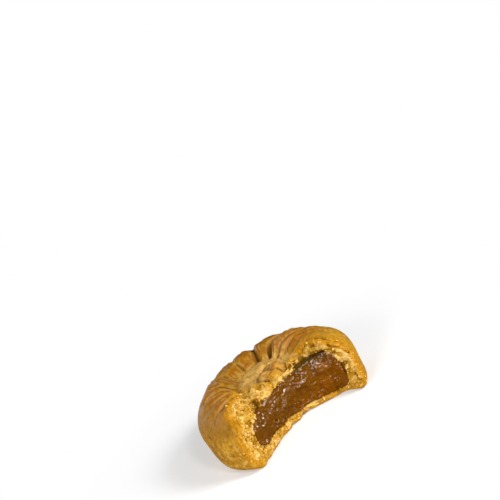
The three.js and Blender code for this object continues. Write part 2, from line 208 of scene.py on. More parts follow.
# The paste: where it is amber, partly its own tone and partly a painted glow as of light passing through it,
# and the painted shade that the dough over it casts on it.
AMBER_GLOW_ALONG, AMBER_GLOW_LEAN, AMBER_GLOW_LEVEL = (-2, 17), 1.2, 8
SHADE_UNDER, SHADE_ALONG = (-0.7, 0.0), (0, 6)

# ---- How finely the solids are meshed ----
# The space that holds each: from and to in x, in y with the place where the planes stand wider, and in z.
CRUST_SPACE = ((-29.0, 30.0), (-20.5, -0.5, 29.2), (-0.6, 21.6))
PASTE_SPACE = ((-23.6, 23.6), (-20.0, 0.0, 23.6), (-0.2, 17.6))
CRUST_STEP = 0.25
CRUST_STEP_BACK = 0.45  # behind the bite, where the surface is smooth
PASTE_STEP = 0.25
PASTE_STEP_BACK = 0.7
MOST_TRIANGLES = 190000  # in one piece
RELIEF_REACH = 2.6  # a wall's relief is worked out this near to it
SETTLE_ROUNDS = 2
SLOPE_NUDGE, LEAST_SLOPE = 0.05, 0.3

SEED = 11
rng = np.random.default_rng(SEED)
SHUFFLE = rng.permutation(256)
DIRECTIONS = rng.normal(size=(256, 3))
DIRECTIONS /= np.linalg.norm(DIRECTIONS, axis=1, keepdims=True)
SCATTER = rng.random((256, 3))
NOISE_SPAN = 1.7  # brings the noise to between about -1 and 1
FAR = 9.0  # further than any grain or hollow counts


# ---- Fields ----
def smoothstep(value, start, end):
    share = np.clip((value - start) / (end - start), 0, 1)
    return share * share * (3 - 2 * share)


def bell(value, width):
    """1 where the value is 0, and less on both sides."""
    return np.exp(-((value / width) ** 2))


def bell_at(x, y, z, middle, spread):
    """Likewise round a place in space."""
    apart = (x - middle[0]) ** 2 + (y - middle[1]) ** 2 + (z - middle[2]) ** 2
    return np.exp(-apart / spread**2)


def lattice_key(column, row, level, seed):
    first = SHUFFLE[(column + seed) & 255]
    second = SHUFFLE[(first + row) & 255]
    return SHUFFLE[(second + level) & 255]


def noise(x, y, z, size, seed=0):
    """Smooth unevenness between about -1 and 1, with lumps about `size` across."""
    place = [x / size, y / size, z / size]
    cell = [np.floor(value).astype(np.int64) for value in place]
    within = [value - floor for value, floor in zip(place, cell)]
    fade = [part**3 * (part * (part * 6 - 15) + 10) for part in within]
    total = np.zeros(np.shape(x))
    for corner in product((0, 1), repeat=3):
        key = lattice_key(*(c + step for c, step in zip(cell, corner)), seed)
        away = [part - step for part, step in zip(within, corner)]
        slope = sum(part * DIRECTIONS[key, axis] for axis, part in enumerate(away))
        weight = np.prod([f if step else 1 - f for f, step in zip(fade, corner)], axis=0)
        total += weight * slope
    return NOISE_SPAN * total


def grains(x, y, z, size, seed=0):
    """Distance to the nearest of scattered points, in units of `size`: 0 in the middle of a grain."""
    place = [x / size, y / size, z / size]
    cell = [np.floor(value).astype(np.int64) for value in place]
    nearest = np.full(np.shape(x), FAR)
    for corner in product((-1, 0, 1), repeat=3):
        beside = [c + step for c, step in zip(cell, corner)]
        key = lattice_key(*beside, seed)
        apart = [b + SCATTER[key, axis] - p for axis, (b, p) in enumerate(zip(beside, place))]
        nearest = np.minimum(nearest, sum(a * a for a in apart))
    return np.sqrt(nearest)


def lumpy(x, y, z, lumps, seed):
    """Unevenness made of lumps of several heights and sizes."""
    return sum(height * noise(x, y, z, size, seed=seed + k) for k, (height, size) in enumerate(lumps))


def between_grooves(azimuth, over_surface):
    """The groove behind a place and the one ahead of it: how far in degrees, and how deep."""
    outward = (over_surface - GROOVE_INNER_AT) / (GROOVE_OUTER_AT - GROOVE_INNER_AT)
    outward = np.clip(outward, 0, GROOVE_RUNS_ON)
    past, depth_behind, short, depth_ahead = np.full((4, *np.shape(azimuth)), 360.0)
    for inner, outer, depth in GROOVES:
        apart = np.mod(azimuth - inner - (outer - inner) * outward, 360)
        depth_behind = np.where(apart < past, depth, depth_behind)
        depth_ahead = np.where(360 - apart < short, depth, depth_ahead)
        past, short = np.minimum(past, apart), np.minimum(short, 360 - apart)
    return past, depth_behind, short, depth_ahead


def tongues(azimuth, out):
    """Height of the tongues of dough at an azimuth and a distance from the axis."""
    total = np.zeros(np.shape(azimuth))
    for at, start, end, width, rise in TONGUES:
        turn = np.radians(azimuth - at)
        along, aside = out * np.cos(turn), out * np.sin(turn)
        length = smoothstep(along, start - TONGUE_END, start) * (1 - smoothstep(along, end - TONGUE_END, end))
        total = total + rise * length * bell(aside, width)
    return total


def pattern(azimuth, over_surface):
    """Height of the mould's pattern over the plain form, and of the veins in it."""
    past, depth_behind, short, depth_ahead = between_grooves(azimuth, over_surface)
    width = past + short
    across = 1 - np.abs(past - short) / width
    grooves = 0
    for apart, depth in ((past, depth_behind), (short, depth_ahead)):
        aside = np.radians(apart) * over_surface
        cut = GROOVE_CUT * depth * bell(aside, GROOVE_CUT_WIDTH)
        grooves = grooves + depth * (bell(aside, GROOVE_WIDTH) + cut)
    longer = bell(np.mod(azimuth - LONGER_TOWARDS + 180, 360) - 180, LONGER_OVER)
    deeper = np.maximum(smoothstep(np.cos(np.radians(azimuth - VEIN_TOWARDS)), *VEIN_SPREAD), longer)
    turn = np.radians(azimuth)
    place = over_surface * np.cos(turn), over_surface * np.sin(turn), 0 * turn
    patchy = np.clip(VEIN_SHARE + VEIN_VARIES * noise(*place, VEIN_PATCHES, seed=16), 0, VEIN_MOST)
    veins = np.maximum(np.round(np.radians(width) * GROOVE_OUTER_AT / VEIN_STEP), 1)
    line = np.abs(np.sin(np.pi * veins * past / width)) - VEIN_LEVEL
    vein = (VEIN_DEPTH + VEIN_DEEPER * deeper) * patchy * line
    inward = PETAL_LONGER * longer
    fade = 1 - smoothstep(over_surface, PETAL_FADE, PETAL_END)
    shown = smoothstep(over_surface + inward, PETAL_START, PETAL_FULL) * fade
    nearer = np.minimum(np.where(past < short, depth_behind, depth_ahead), 1)
    petal = PETAL_BULGE * (1 - nearer * (1 - across) ** 2) - PETAL_SINKS - grooves + vein
    floor_end = BASIN_FLOOR + BASIN_WIDENS * nearer * (1 - across) ** 3 - BASIN_NARROWS * inward
    basin = BASIN_DEPTH * (1 - smoothstep(over_surface, floor_end, floor_end + BASIN_SLOPE))
    uneven = lumpy(*place, PATTERN_LUMPS, seed=40) * fade
    return petal * shown - basin + tongues(azimuth, over_surface) + uneven, vein * shown


def wandering(x, y, z):
    """The azimuth of a place, wavering a little as the grooves do."""
    out = np.maximum(np.hypot(x, y), 1)
    return np.degrees(np.arctan2(y, x) + GROOVE_WAVER * noise(x, y, z, WAVER_SIZE, seed=3) / out)


def along_surface(out, z):
    """How far out from the axis a place is, measured over the plain form."""
    lean = np.arctan2(np.maximum(out - TOP_FLAT, 0), np.maximum(z - SHOULDER_FOOT, 0))
    return np.minimum(out, TOP_FLAT) + SHOULDER_ROUNDING * lean


def from_dome(x, y, at, how_far):
    """Distance across from the middle of a dome of the button."""
    turn = math.radians(at)
    return np.hypot(x - how_far * math.cos(turn), y - how_far * math.sin(turn))


def outside(x, y, z):
    """The moulded outside of the whole cookie: its distance, negative inside."""
    out = np.hypot(x, y)
    above_foot = np.maximum(z - SHOULDER_FOOT, 0)
    shoulder = np.hypot(np.maximum(out - TOP_FLAT, 0), above_foot) - SHOULDER_ROUNDING
    past_base = np.maximum(out - (RADIUS - BASE_ROUNDING), 0)
    base = np.hypot(past_base, np.maximum(BASE_ROUNDING - z, 0)) - BASE_ROUNDING
    upright = smoothstep(z, 0, BASE_ROUNDING)
    rise = OUT_OF_ROUND * noise(x, y, z, OUT_OF_ROUND_SIZE, seed=5) * upright
    for at, height, spread, swell in SWELLS:
        middle = RADIUS * math.cos(math.radians(at)), RADIUS * math.sin(math.radians(at)), height
        rise = rise + swell * bell_at(x, y, z, middle, spread)
    for *middle, radius, depth in DIMPLES:
        rise = rise - depth * bell_at(x, y, z, middle, radius)
    shoulder = shoulder - rise
    top = (z > SHOULDER_FOOT) & (np.abs(shoulder) < PATTERN_REACH)
    shoulder[top] -= pattern(wandering(x[top], y[top], z[top]), along_surface(out[top], z[top]))[0]
    moulded = np.maximum(shoulder, base - rise * upright)
    for at, how_far, radius, height in BUTTON_DOMES:
        across = from_dome(x, y, at, how_far)
        up = (z - HEIGHT + BASIN_DEPTH) * radius / height
        dome = (np.hypot(across, up) - radius) * height / radius
        moulded = moulded + DOME_CREASE * bell(across - radius, DOME_CREASE_WIDTH)
        mix = np.clip(0.5 + 0.5 * (dome - moulded) / DOME_BLEND, 0, 1)
        moulded = dome + (moulded - dome) * mix - DOME_BLEND * mix * (1 - mix)
    return moulded


def near_dome(x, y, dome):
    """1 on top of a dome of the button, and 0 past its foot."""
    at, how_far, radius, _ = dome
    return 1 - smoothstep(from_dome(x, y, at, how_far), radius * DOME_TOP, radius * DOME_FOOT)


def paste_disc(x, y, z, grown):
    """The thick disc of paste, grown by `grown` on every side."""
    uneven = FILLING_UNEVEN * noise(x, y, 0 * z, FILLING_UNEVEN_SIZE, seed=9)
    top = FILLING_TOP + uneven + FILLING_WIDENS * x
    bottom = FILLING_BOTTOM - FILLING_WIDENS * x
    level = FILLING_BOTTOM + (z - bottom) / (top - bottom) * (FILLING_TOP - FILLING_BOTTOM)
    out = np.hypot(x, y)
    above = np.maximum(level - FILLING_TOP + FILLING_TOP_ROUNDING, 0)
    upper = np.hypot(np.maximum(out - FILLING_RADIUS + FILLING_TOP_ROUNDING, 0), above) - FILLING_TOP_ROUNDING
    below = np.maximum(FILLING_BOTTOM + FILLING_BOTTOM_ROUNDING - level, 0)
    lower = np.hypot(np.maximum(out - FILLING_RADIUS + FILLING_BOTTOM_ROUNDING, 0), below)
    return np.maximum(upper, lower - FILLING_BOTTOM_ROUNDING) - grown


def round_jaw(x, y):
    """Angle round the middle of the jaw, from +Y towards +X in degrees, and distance from it."""
    return np.degrees(np.arctan2(x, y + BITE_CENTRE)), np.hypot(x, y + BITE_CENTRE)


def tooth_mark(angle):
    """How far the jaw's curve reaches at an angle, with a ridge between two teeth."""
    following = np.clip(np.searchsorted(TOOTH_ANGLES, angle, side="right"), 1, len(TOOTH_ANGLES) - 1)
    angles, reaches = np.array(TOOTH_ANGLES, float), np.array(TOOTH_REACHES)
    between = (angle - angles[following - 1]) / (angles[following] - angles[following - 1])
    between = np.clip(between, 0, 1)
    eased = smoothstep(between, 0, 1)
    reach = reaches[following - 1] * (1 - eased) + reaches[following] * eased
    return reach - TOOTH_RIDGE * np.sin(np.pi * between) ** 2


def broken_back(angle, z):
    """How much further back than the teeth the crust broke."""
    total = 0 * angle
    for at, back, spread, start, end in BREAKS:
        total = total + back * bell(angle - at, spread) * smoothstep(z, start, end)
    return total


def crust_bite(x, y, z):
    """Positive in the space that the bite took from the crust, whose wall is plain here."""
    angle, out = round_jaw(x, y)
    return tooth_mark(angle) + broken_back(angle, z) - out


def coarseness(x, z):
    """How coarse the crumb is at a place: 0 to 1."""
    return smoothstep(x + COARSE_LEAN * (z - COARSE_LEVEL), COARSE_FROM, COARSE_TO)


def crumb_relief(x, y, z):
    """How far the broken crumb stands out of the plain wall: crags, clumps, layers, grains and pores."""
    out = round_jaw(x, y)[1]
    under = outside(x, y, z)
    along = LAYERS_OUT * np.arctan2(z - LAYERS_ROUND, x)
    coarse = LEAST_COARSE + (1 - LEAST_COARSE) * coarseness(x, z) * smoothstep(z, *COARSE_ABOVE)
    crags = CRAG * (noise(x, y, z, CRAG_SIZE, seed=1) + 0.5 * noise(x, y, z, CRAG_SIZE / 2, seed=2))
    crags = crags * (CALM_CRAGS + (1 - CALM_CRAGS) * coarse)
    clumps = CLUMP * (0.5 - grains(x, y, z, CLUMP_SIZE, seed=12)) * coarse * smoothstep(z, *CLUMPS_ABOVE)
    layers = LAYER * noise(under * LAYER_THINNER, along * LAYER_LONGER, out, LAYER_SIZE, seed=4)
    grain = GRAIN * (0.5 - grains(x, y, z, GRAIN_SIZE, seed=6))
    holes = noise(under * PORE_THINNER, along * PORE_LONGER, out, PORE_SIZE, seed=8)
    pores = PORE_DEPTH * smoothstep(holes, *PORE_EDGES) * coarse
    small = FINE_PORE_DEPTH * smoothstep(noise(x, y, z, FINE_PORE_SIZE, seed=19), *FINE_PORE_EDGES)
    calm = RIM_CALM + (1 - RIM_CALM) * smoothstep(-under, 0, RIM_WIDTH)
    return (crags + clumps + layers + grain - pores - small * (FINE_PORE_SHARE - coarse)) * calm


def torn_skin(x, y, z, behind):
    """How deep the skin is pitted near the bite, where it crumbled too."""
    near = (1 - smoothstep(behind, TORN_FULL, TORN_REACH)) * smoothstep(z, *TORN_ABOVE)
    pits = smoothstep(noise(x, y, z, PIT_SIZE, seed=17), *PIT_EDGES) * (1 + smoothstep(x, *ROUGHER_AT))
    grain = TORN_GRAIN * (grains(x, y, z, GRAIN_SIZE, seed=18) - TORN_LEVEL)
    return near * (PIT_DEPTH * pits + grain)


def hollows(x, y, z):
    """Positive in the hollows that opened in the dough round the paste."""
    deepest = np.full(np.shape(x), -FAR)
    waver = HOLLOW_WAVER * noise(x, y, z, HOLLOW_WAVER_SIZE, seed=15)
    for start, end, radius in HOLLOWS:
        start, end = np.array(start), np.array(end)
        run = end - start
        offset = [value - first for value, first in zip((x, y, z), start)]
        share = np.clip(sum(o * r for o, r in zip(offset, run)) / (run @ run), 0, 1)
        apart = np.sqrt(sum((o - share * r) ** 2 for o, r in zip(offset, run)))
        deepest = np.maximum(deepest, radius + waver - apart)
    return deepest


def paste_bite(x, y, z):
    angle, out = round_jaw(x, y)
    up = np.clip((z - FILLING_BOTTOM) / (FILLING_TOP - FILLING_BOTTOM), 0, 1)
    return tooth_mark(angle) - PASTE_BULGE * np.sin(np.pi * up) - out


def paste_relief(x, y, z):
    """How far the bitten paste stands out of its plain wall."""
    relief = lumpy(x, y, z, PASTE_LUMPS, seed=20)
    return np.where(relief < PASTE_DIP, PASTE_DIP + DIPS_LEFT * (relief - PASTE_DIP), relief)


def rounded_cut(body, gone, rounding):
    """The field of a body less what is gone, with the edge between the two rounded."""
    near = np.maximum(rounding - np.abs(body - gone), 0)
    return np.maximum(body, gone) + near * near / (4 * rounding)


def bitten(whole, bite, relief, rounding):
    """The field of a whole thing less its bite, whose wall has a relief."""

    def field(x, y, z):
        body, gone = whole(x, y, z), bite(x, y, z)
        near = (np.abs(gone) < RELIEF_REACH) & (body < RELIEF_REACH)
        gone[near] -= relief(x[near], y[near], z[near])
        return rounded_cut(body, gone, rounding)

    return field


def crust_solid(x, y, z):
    def whole(x, y, z):
        body = outside(x, y, z)
        behind = -crust_bite(x, y, z)
        near = (np.abs(body) < RELIEF_REACH) & (behind < TORN_REACH)
        body[near] += torn_skin(x[near], y[near], z[near], behind[near])
        return body

    body = bitten(whole, crust_bite, crumb_relief, EDGE_ROUNDING)(x, y, z)
    return np.maximum.reduce([body, -paste_disc(x, y, z, POCKET_GAP), hollows(x, y, z)])


def paste_solid(x, y, z):
    def whole(x, y, z):
        return paste_disc(x, y, z, PASTE_SWELLS)

    return bitten(whole, paste_bite, paste_relief, PASTE_ROUNDING)(x, y, z)


# ---- Meshes over the fields ----
def planes(start, *stretches):
    """Where the grid's planes stand along one direction: each stretch runs to its end in even steps."""
    values = [np.array([start])]
    for end, step in stretches:
        count = max(round((end - values[-1][-1]) / step), 1)
        values.append(np.linspace(values[-1][-1], end, count + 1)[1:])
    return np.concatenate(values)


def laid_over(solid, grid):
    """Points and four-cornered faces of the surface where the field is 0: a point in each cell it crosses."""
    field = solid(*np.meshgrid(*grid, indexing="ij"))
    inside = field < 0
    count = np.zeros([n - 1 for n in inside.shape], int)
    for corner in product((0, 1), repeat=3):
        count += inside[tuple(slice(c, c + n - 1) for c, n in zip(corner, inside.shape))]
    crossed = (count > 0) & (count < 8)
    cells = np.argwhere(crossed)
    number = np.full(crossed.shape, -1)
    number[crossed] = np.arange(len(cells))
    total, hits = np.zeros((len(cells), 3)), np.zeros((len(cells), 1))
    for axis in range(3):
        for side in product((0, 1), repeat=2):
            low = cells + np.insert(side, axis, 0)
            high = cells + np.insert(side, axis, 1)
            before, after = field[tuple(low.T)], field[tuple(high.T)]
            cuts = (before < 0) != (after < 0)
            share = np.where(cuts, before / np.where(cuts, before - after, 1), 0)[:, None]
            start = np.stack([grid[k][low[:, k]] for k in range(3)], 1)
            end = np.stack([grid[k][high[:, k]] for k in range(3)], 1)
            total += cuts[:, None] * (start + share * (end - start))
            hits += cuts[:, None]
    faces, step = [], np.eye(3, dtype=int)
    for axis in range(3):
        one, two = (axis + 1) % 3, (axis + 2) % 3
        changes = np.argwhere(inside != np.roll(inside, -1, axis))
        ringed = (changes[:, axis] < inside.shape[axis] - 1) & (changes[:, one] > 0) & (changes[:, two] > 0)
        changes = changes[ringed]
        ring = [changes - step[one] - step[two], changes - step[two], changes, changes - step[one]]
        quad = np.stack([number[tuple(cell.T)] for cell in ring], 1)
        leaving = inside[tuple(changes.T)]
        faces.append(np.where(leaving[:, None], quad, quad[:, ::-1]))
    return total / hits, np.concatenate(faces)


def settled(points, solid, step):
    """Moves the points onto the surface along the field's slope, each time by a third of a cell at most."""
    for _ in range(SETTLE_ROUNDS):
        value = solid(*points.T)
        rises = [solid(*(points + SLOPE_NUDGE * axis).T) - value for axis in np.eye(3)]
        slope = np.stack(rises, 1) / SLOPE_NUDGE
        length = np.maximum(np.linalg.norm(slope, axis=1), LEAST_SLOPE)
        move = np.clip(value / length, -step / 3, step / 3)
        points = points - slope * (move / length)[:, None]
    return points


def largest_part(points, faces):
    """Drops the loose scraps, and keeps the part with the most points."""
    label = np.arange(len(points))
    while True:
        lowest = label[faces].min(axis=1)
        update = label.copy()
        for corner in faces.T:
            np.minimum.at(update, corner, lowest)
        update = update[update]
        if np.array_equal(update, label):
            break
        label = update
    biggest = np.bincount(label).argmax()
    kept = label == biggest
    renumber = np.cumsum(kept) - 1
    return points[kept], renumber[faces[kept[faces[:, 0]]]]


def new_object(name, data):
    made = bpy.data.objects.new(name, data)
    bpy.context.scene.collection.objects.link(made)
    return made


def mesh_piece(name, points, faces):
    """A smooth-shaded object of these points, in millimetres, and faces."""
    mesh = bpy.data.meshes.new(name)
    mesh.from_pydata((points * MM).tolist(), [], faces.tolist())
    mesh.polygons.foreach_set("use_smooth", [True] * len(mesh.polygons))
    mesh.update()
    return new_object(name, mesh)


def mesh_points(piece):
    """The piece's points in millimetres, as x, y and z."""
    flat = np.empty(len(piece.data.vertices) * 3)
    piece.data.vertices.foreach_get("co", flat)
    return flat.reshape(-1, 3).T / MM


def paint(piece, name, values):
    """Keeps a number for each point of the piece, which its material reads by name."""
    attribute = piece.data.attributes.new(name, "FLOAT", "POINT")
    attribute.data.foreach_set("value", np.asarray(values, dtype=np.float32))


def plain_mesh(piece):
    """Turns what a piece's modifiers make of it into its own mesh."""
    made = bpy.data.meshes.new_from_object(piece.evaluated_get(bpy.context.evaluated_depsgraph_get()))
    piece.modifiers.clear()
    piece.data = made


def held_in_box(points):
    """The points, in millimetres, with those that stand a hair outside the frame's box moved in."""
    low, high = (np.array(corner) / MM for corner in cad_box)
    return np.clip(points, low, high)


def solid_piece(name, solid, space, step, step_back):
    """A piece laid over a solid, with fewer faces where it is smooth if there are too many."""
    (left, right), (front, wider, back), (low, high) = space
    wide, deep, tall = (left, (right, step)), (front, (wider, step), (back, step_back)), (low, (high, step))
    points, faces = largest_part(*laid_over(solid, [planes(*run) for run in (wide, deep, tall)]))
    piece = mesh_piece(name, held_in_box(settled(points, solid, step)), faces)
    triangles = 2 * len(faces)
    if triangles > MOST_TRIANGLES:
        thinned = piece.modifiers.new("thinned", "DECIMATE")
        thinned.ratio = MOST_TRIANGLES / triangles
        plain_mesh(piece)
    return piece


def paint_crust(piece):
    """Keeps what the crust's material needs to know of each point."""
    x, y, z = mesh_points(piece)
    under, behind = -outside(x, y, z), -crust_bite(x, y, z)
    over_surface = along_surface(np.hypot(x, y), z)
    patchy = noise(x, y, z, PATCHY_SIZE, seed=30)
    border = PATCHY_EDGE * patchy

    reach = CRUMBLY_REACH[0], CRUMBLY_REACH[1] + ROUGHER_REACH * smoothstep(x, *ROUGHER_AT)
    crumbly = CRUMBLY * (1 - smoothstep(behind + border, *reach)) * smoothstep(z, *TORN_ABOVE)
    waver = CRUMB_WAVER * noise(x, y, z, CRUMB_WAVER_SIZE, seed=31)
    crumb = smoothstep(under + crumbly + waver, *CRUMB_UNDER)
    crumb = np.where(behind < TORN_REACH, crumb, smoothstep(under, *CRUMB_UNDER_BACK))
    paint(piece, "crumb", crumb)
    on_skin = LOOSE_ON_SKIN * (1 - smoothstep(behind + border, *LOOSE_ON_SKIN_REACH))
    loose = np.maximum(smoothstep(under, *LOOSE_UNDER), on_skin)
    paint(piece, "broken", loose * (np.abs(behind) < LOOSE_REACH) * smoothstep(z, *LOOSE_ABOVE))
    aside = LEAST_TOASTED + (1 - LEAST_TOASTED) * smoothstep(np.abs(x), *TOASTED_ASIDE)
    paint(piece, "toasted", (1 - smoothstep(under, *TOASTED_UNDER)) * aside)
    # Painted shade in the hollows: the crumb there gets the dark pore colour, as "coarse" is raised and
    # "proud" lowered.
    hollow_shade = smoothstep(hollows(x, y, z), HOLLOW_SHADE_FROM, 0)
    paint(piece, "coarse", np.maximum(coarseness(x, z), hollow_shade))
    proud = 0.5 + crumb_relief(x, y, z) / PROUD_SPAN
    paint(piece, "proud", np.clip(proud - HOLLOW_SHADE_DARKNESS * hollow_shade, 0, 1))
    torn_end = TORN_LOOK[1] + TORN_WIDER * smoothstep(x, *TORN_WIDER_AT)
    paint(piece, "torn", 1 - smoothstep(behind + patchy, TORN_LOOK[0], torn_end))

    relief, vein = pattern(wandering(x, y, z), over_surface)
    basin = 1 - smoothstep(over_surface, BASIN_FLOOR, BASIN_FLOOR + BASIN_SLOPE)
    paint(piece, "raised", np.clip(0.5 + (relief + BASIN_DEPTH * basin) / RAISED_SPAN, 0, 1))
    paint(piece, "veined", np.clip(0.5 + vein / VEINED_SPAN, 0, 1))
    for look, patches in (("scorched", SCORCHES), ("bleached", BLEACHES)):
        shares = [strong * bell_at(x, y, z, place, far) for *place, far, strong in patches]
        paint(piece, look, sum(shares))
    in_basin = 1 - smoothstep(over_surface + border, *BASIN_LOOK)
    paint(piece, "basin", in_basin)
    paint(piece, "domed", np.maximum.reduce([near_dome(x, y, dome) for dome in BUTTON_DOMES]))
    away = np.cos(np.arctan2(y, x) - math.radians(BROWNED_TOWARDS))
    browned = smoothstep(z, *BROWNED_ABOVE) * (1 - in_basin) * smoothstep(away, *BROWNED_SPREAD)
    paint(piece, "browned", browned)


def make_crust():
    piece = solid_piece("crust_dough", crust_solid, CRUST_SPACE, CRUST_STEP, CRUST_STEP_BACK)
    paint_crust(piece)
    return piece


def make_filling():
    piece = solid_piece("date_paste", paste_solid, PASTE_SPACE, PASTE_STEP, PASTE_STEP_BACK)
    x, _, z = mesh_points(piece)
    # Amber: partly the paste's tone, partly a painted glow as of light passing through it.
    paint(piece, "amber_glow", smoothstep(x - AMBER_GLOW_LEAN * (z - AMBER_GLOW_LEVEL), *AMBER_GLOW_ALONG))
    top = FILLING_TOP + FILLING_WIDENS * x
    paint(piece, "shaded", smoothstep(z - top, *SHADE_UNDER) * smoothstep(x, *SHADE_ALONG))
    return piece


# ---- Nodes ----
def fill(tree, node, inputs):
    """Sets the values or links of a node's inputs."""
    for name, value in inputs.items():
        if isinstance(value, bpy.types.NodeSocket):
            tree.links.new(value, node.inputs[name])
        else:
            node.inputs[name].default_value = value


def add(tree, kind, inputs=None, **settings):
    """Adds a node with its settings and inputs."""
    node = tree.nodes.new(kind)
    for name, value in settings.items():
        setattr(node, name, value)
    fill(tree, node, inputs or {})
    return node


def calculated(tree, operation, first, second=0.0):
    return add(tree, "ShaderNodeMath", {0: first, 1: second}, operation=operation).outputs[0]


def times(tree, first, *others):
    """The product of several values."""
    for other in others:
        first = calculated(tree, "MULTIPLY", first, other)
    return first


def scaled(tree, vector, by):
    return add(tree, "ShaderNodeVectorMath", {0: vector, "Scale": by}, operation="SCALE").outputs[0]


def astray(tree, colour, reach):
    """A step in the direction that a noise's colour gives, as long as `reach` makes it."""
    away = add(tree, "ShaderNodeVectorMath", {0: colour, 1: (0.5, 0.5, 0.5)}, operation="SUBTRACT")
    return scaled(tree, away.outputs[0], reach)


def socket(tree, name, kind, side="INPUT"):
    """Gives a node group a socket."""
    return tree.interface.new_socket(name=name, in_out=side, socket_type="NodeSocket" + kind)


# ---- Crumbs stuck to the broken wall ----
# How many to the square metre, their sizes in metres, how uneven and how finely meshed.
CRUMBS = {
    "fine_crumbs": dict(Density=1.2e6, Smallest=0.00014, Largest=0.00036, Raggedness=0.35, Rounds=1),
    "coarse_crumbs": dict(Density=0.1e6, Smallest=0.0004, Largest=0.0007, Raggedness=0.45, Rounds=2),
}
CRUMB_RAGGED_SCALE, CRUMB_RAGGED_REACH = 2200.0, 4.0
CRUMB_SHAPES = {0: (1.0, 0.6, 0.45), 1: (1.0, 1.0, 0.8)}  # the slimmest and the fullest
ANY_TURN = {0: (0, 0, 0), 1: (6.28, 6.28, 6.28)}


def drawn(tree, kind, seed, limits):
    """A random value for each point, between two limits."""
    return add(tree, "FunctionNodeRandomValue", {**limits, "Seed": seed}, data_type=kind).outputs


def crumb_scatter(name):
    """Grains scattered over a surface where its "broken" attribute is high, each of its own uneven shape."""
    tree = bpy.data.node_groups.new(name, "GeometryNodeTree")
    socket(tree, "Geometry", "Geometry")
    for label in ("Density", "Smallest", "Largest", "Raggedness"):
        socket(tree, label, "Float")
    socket(tree, "Rounds", "Int")
    socket(tree, "Material", "Material")
    socket(tree, "Geometry", "Geometry", "OUTPUT")
    given = add(tree, "NodeGroupInput").outputs

    broken = add(tree, "GeometryNodeInputNamedAttribute", {"Name": "broken"}, data_type="FLOAT").outputs[0]
    where = {"Mesh": given["Geometry"], "Density": times(tree, broken, given["Density"]), "Seed": 3}
    points = add(tree, "GeometryNodeDistributePointsOnFaces", where).outputs["Points"]
    turn = drawn(tree, "FLOAT_VECTOR", 4, ANY_TURN)[0]
    size = drawn(tree, "FLOAT", 5, {2: given["Smallest"], 3: given["Largest"]})[1]
    slim = drawn(tree, "FLOAT_VECTOR", 6, CRUMB_SHAPES)[0]
    ball = {"Radius": 1.0, "Subdivisions": given["Rounds"]}
    grain = add(tree, "GeometryNodeMeshIcoSphere", ball).outputs[0]
    values = {"Points": points, "Instance": grain, "Rotation": turn, "Scale": scaled(tree, slim, size)}
    grown = add(tree, "GeometryNodeInstanceOnPoints", values).outputs[0]
    real = add(tree, "GeometryNodeRealizeInstances", {0: grown}).outputs[0]
    place = add(tree, "GeometryNodeInputPosition").outputs[0]
    cloud = add(tree, "ShaderNodeTexNoise", {"Vector": place, "Scale": CRUMB_RAGGED_SCALE, "Detail": 1.0})
    far = times(tree, given["Largest"], given["Raggedness"], CRUMB_RAGGED_REACH)
    moved = {"Geometry": real, "Offset": astray(tree, cloud.outputs["Color"], far)}
    uneven = add(tree, "GeometryNodeSetPosition", moved).outputs[0]
    dressed = add(tree, "GeometryNodeSetMaterial", {"Geometry": uneven, "Material": given["Material"]})
    add(tree, "NodeGroupOutput", {"Geometry": dressed.outputs[0]})
    return tree


def make_crumbs(name, crust, scatter, look, **values):
    """A piece of crumbs over the crust's broken wall."""
    piece = new_object(name, crust.data.copy())
    modifier = piece.modifiers.new("crumbs", "NODES")
    modifier.node_group = scatter
    values["Material"] = look
    for item in scatter.interface.items_tree:
        if item.name in values:
            modifier[item.identifier] = values[item.name]
    plain_mesh(piece)
    held = held_in_box(mesh_points(piece).T) * MM
    piece.data.vertices.foreach_set("co", held.ravel())
    return piece


# ---- Materials ----
GOLDEN = (0.52, 0.255, 0.014, 1)
OCHRE = (0.39, 0.18, 0.011, 1)
BEIGE = (0.60, 0.35, 0.06, 1)
BROWN = (0.28, 0.11, 0.006, 1)
OLIVE = (0.24, 0.113, 0.008, 1)
PINKISH = (0.40, 0.19, 0.055, 1)
BAKED = (0.28, 0.095, 0.002, 1)
# Painted shade for the grooves and the low places of the moulded top.
GROOVE_SHADE = (0.20, 0.085, 0.008, 1)
BASIN = (0.54, 0.32, 0.085, 1)
FLECK = (0.20, 0.08, 0.007, 1)
ORANGE = (0.52, 0.215, 0.001, 1)
CRUMB = (0.62, 0.325, 0.035, 1)
# Deeper ochre for the crumb's pits, partly their own tone and partly painted shade.
CRUMB_PIT_SHADE = (0.50, 0.23, 0.006, 1)
CREAM = (0.84, 0.55, 0.165, 1)
# Colours for the crumb's low places: the pores' ochre with painted shade in it, darker for coarse crumb.
PORE_SHADE = (0.30, 0.13, 0.006, 1)
PALE_PORE_SHADE = (0.38, 0.165, 0.005, 1)
DATE_DARK = (0.135, 0.045, 0.0006, 1)
# Amber, partly a painted glow as of light passing through the paste.
DATE_AMBER_GLOW = (0.175, 0.053, 0.0001, 1)
DATE_PINK = (0.33, 0.15, 0.05, 1)
DATE_SHADE = (0.075, 0.036, 0.002, 1)
# Soft spots on the skin: size in metres, seed, strength, colour.
SPOTS = [(0.0026, 3.0, 0.5, BEIGE), (0.0012, 13.0, 0.7, BEIGE), (0.0014, 15.0, 0.55, BROWN)]
# Specks on it: the space between them, how large they are, strength.
SPECKS = [(0.0024, 0.42, 0.6), (0.0012, 0.4, 0.5), (0.0016, 0.24, 0.9)]


def material(name):
    """A material and its node tree with a Principled BSDF."""
    made = bpy.data.materials.new(name)
    made.use_nodes = True
    made.node_tree.nodes.clear()
    shader = add(made.node_tree, "ShaderNodeBsdfPrincipled")
    add(made.node_tree, "ShaderNodeOutputMaterial", {"Surface": shader.outputs[0]})
    return made, made.node_tree, shader


